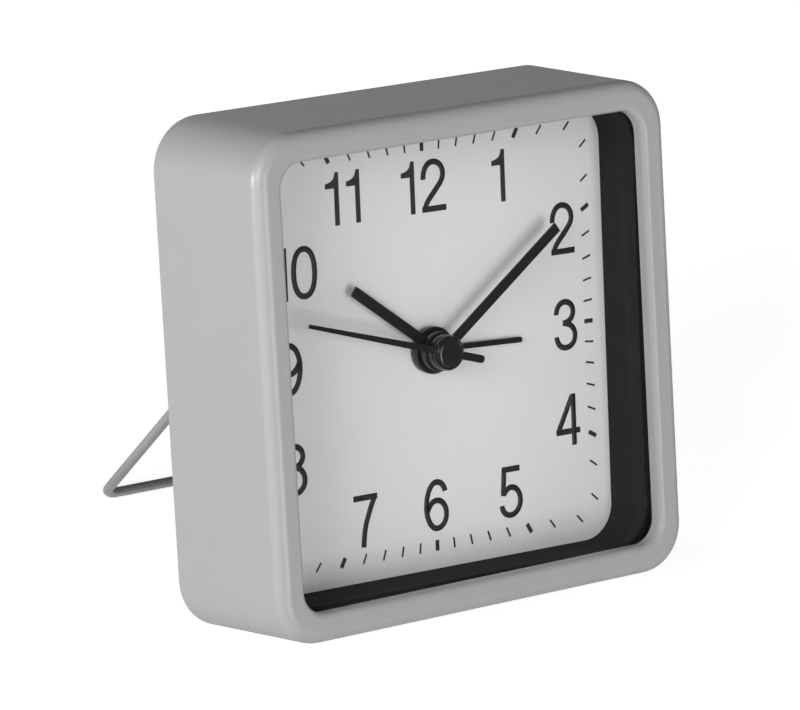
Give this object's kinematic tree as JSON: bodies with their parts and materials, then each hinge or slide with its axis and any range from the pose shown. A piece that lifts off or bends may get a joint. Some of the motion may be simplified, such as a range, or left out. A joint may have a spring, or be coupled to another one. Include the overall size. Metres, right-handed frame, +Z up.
{
  "type": "table alarm clock",
  "caption": "Square table alarm clock in a deep rounded case, with a numbered dial, black baton hands, a geared quartz movement and a folding wire stand.",
  "frame": {"origin": "on the floor under the middle of the clock as it leans on its open stand", "axes": "+X to the right seen from the front, -Y the way the dial looks, +Z up"},
  "size_m": [0.09, 0.0678, 0.0926],
  "materials": {
    "case_plastic": "satin grey paint on a moulded shell",
    "lens_clear": "clear",
    "surround_black": "satin black",
    "dial_card": "matt, printed",
    "cover_plastic": "fine matt grain",
    "stand_chrome": "bright plated wire",
    "hand_black": "satin black",
    "cell_sleeve": "plain printed sleeve",
    "contact_steel": "nickel plated",
    "movement_plastic": "matt black",
    "screw_steel": "zinc plated",
    "gear_nylon": "natural nylon",
    "magnet_ferrite": "matt",
    "knob_plastic": "satin black",
    "motor_iron": "stamped",
    "bobbin_plastic": "matt",
    "winding_copper": "enamelled copper wire",
    "board_laminate": "laminate with a solder mask",
    "chip_resin": "glossy resin",
    "crystal_can": "drawn can",
    "spring_brass": "thin strip",
    "buzzer_brass": "thin sheet",
    "buzzer_ceramic": "silvered ceramic",
    "lead_insulation": "thin insulated wire"
  },
  "bodies": {
    "case": {"case_shell": "case_plastic", "lens": "lens_clear", "dial_surround": "surround_black", "dial": "dial_card", "back_cover": "cover_plastic", "battery_cell": "cell_sleeve", "battery_contact_positive": "contact_steel", "battery_contact_negative": "contact_steel", "movement_front_plate": "movement_plastic", "movement_middle_plate": "movement_plastic", "movement_rear_housing": "movement_plastic", "movement_screws": "screw_steel", "stator": "motor_iron", "coil_core": "motor_iron", "coil_bobbin": "bobbin_plastic", "coil_winding": "winding_copper", "circuit_board": "board_laminate", "control_chip": "chip_resin", "quartz_crystal": "crystal_can", "alarm_contact_spring": "spring_brass", "switch_contact": "spring_brass", "buzzer_plate": "buzzer_brass", "buzzer_ceramic": "buzzer_ceramic", "buzzer_leads": "lead_insulation"},
    "second": {"second_hand": "hand_black", "second_wheel": "gear_nylon"},
    "minute": {"minute_hand": "hand_black", "centre_wheel": "gear_nylon"},
    "hour": {"hour_hand": "hand_black", "hour_wheel": "gear_nylon"},
    "alarm": {"alarm_hand": "hand_black", "alarm_wheel": "gear_nylon"},
    "third": {"third_wheel": "gear_nylon"},
    "minute_work": {"minute_work_wheel": "gear_nylon"},
    "intermediate": {"intermediate_wheel": "gear_nylon"},
    "rotor": {"rotor": "gear_nylon", "rotor_magnet": "magnet_ferrite"},
    "time_set": {"time_set_arbor": "gear_nylon", "time_set_knob": "knob_plastic"},
    "alarm_set": {"alarm_set_arbor": "gear_nylon", "alarm_set_knob": "knob_plastic"},
    "stand": {"stand_wire": "stand_chrome"},
    "battery_door": {"battery_door": "cover_plastic"},
    "alarm_switch": {"alarm_switch": "knob_plastic"}
  },
  "joints": [
    {"name": "second_spin", "type": "hinge", "parent": "case", "child": "second", "pos_m": [0, -0.0033, 0.04768], "axis": [0, 0.9058, -0.4237], "continuous": true},
    {"name": "minute_spin", "type": "hinge", "parent": "case", "child": "minute", "pos_m": [0, -0.0033, 0.04768], "axis": [0, 0.9058, -0.4237], "continuous": true},
    {"name": "hour_spin", "type": "hinge", "parent": "case", "child": "hour", "pos_m": [0, -0.0033, 0.04768], "axis": [0, 0.9058, -0.4237], "continuous": true},
    {"name": "alarm_spin", "type": "hinge", "parent": "case", "child": "alarm", "pos_m": [0, -0.0033, 0.04768], "axis": [0, 0.9058, -0.4237], "continuous": true},
    {"name": "third_spin", "type": "hinge", "parent": "case", "child": "third", "pos_m": [0, 0.00024, 0.05526], "axis": [0, 0.9058, -0.4237], "continuous": true},
    {"name": "minute_work_spin", "type": "hinge", "parent": "case", "child": "minute_work", "pos_m": [-0.00294, -0.00015, 0.05442], "axis": [0, 0.9058, -0.4237], "continuous": true},
    {"name": "intermediate_spin", "type": "hinge", "parent": "case", "child": "intermediate", "pos_m": [0.00708, -0.0054, 0.04319], "axis": [0, 0.9058, -0.4237], "continuous": true},
    {"name": "rotor_spin", "type": "hinge", "parent": "case", "child": "rotor", "pos_m": [0.01328, -0.00587, 0.0422], "axis": [0, 0.9058, -0.4237], "continuous": true},
    {"name": "time_set_spin", "type": "hinge", "parent": "case", "child": "time_set", "pos_m": [-0.01052, -0.00168, 0.05115], "axis": [0, 0.9058, -0.4237], "continuous": true},
    {"name": "alarm_set_spin", "type": "hinge", "parent": "case", "child": "alarm_set", "pos_m": [0.01052, -0.00168, 0.05115], "axis": [0, 0.9058, -0.4237], "continuous": true},
    {"name": "stand_fold", "type": "hinge", "parent": "case", "child": "stand", "pos_m": [0, 0.01253, 0.03928], "axis": [1, 0, 0], "range_deg": [-53.1, 0]},
    {"name": "battery_door_pull", "type": "slide", "parent": "case", "child": "battery_door", "axis": [0, 0.9058, -0.4237], "range_m": [0, 0.012]},
    {"name": "alarm_switch_slide", "type": "slide", "parent": "case", "child": "alarm_switch", "axis": [1, 0, 0], "range_m": [0, 0.004]}
  ],
  "couplings": [
    {"joint": "third_spin", "follows": "second_spin", "ratio": -0.125},
    {"joint": "minute_spin", "follows": "second_spin", "ratio": 0.016667},
    {"joint": "minute_work_spin", "follows": "second_spin", "ratio": -0.0055556},
    {"joint": "hour_spin", "follows": "second_spin", "ratio": 0.0013889},
    {"joint": "intermediate_spin", "follows": "second_spin", "ratio": -5},
    {"joint": "rotor_spin", "follows": "second_spin", "ratio": 30},
    {"joint": "time_set_spin", "follows": "second_spin", "ratio": 0.013889},
    {"joint": "alarm_set_spin", "follows": "alarm_spin", "ratio": -2.5}
  ]
}
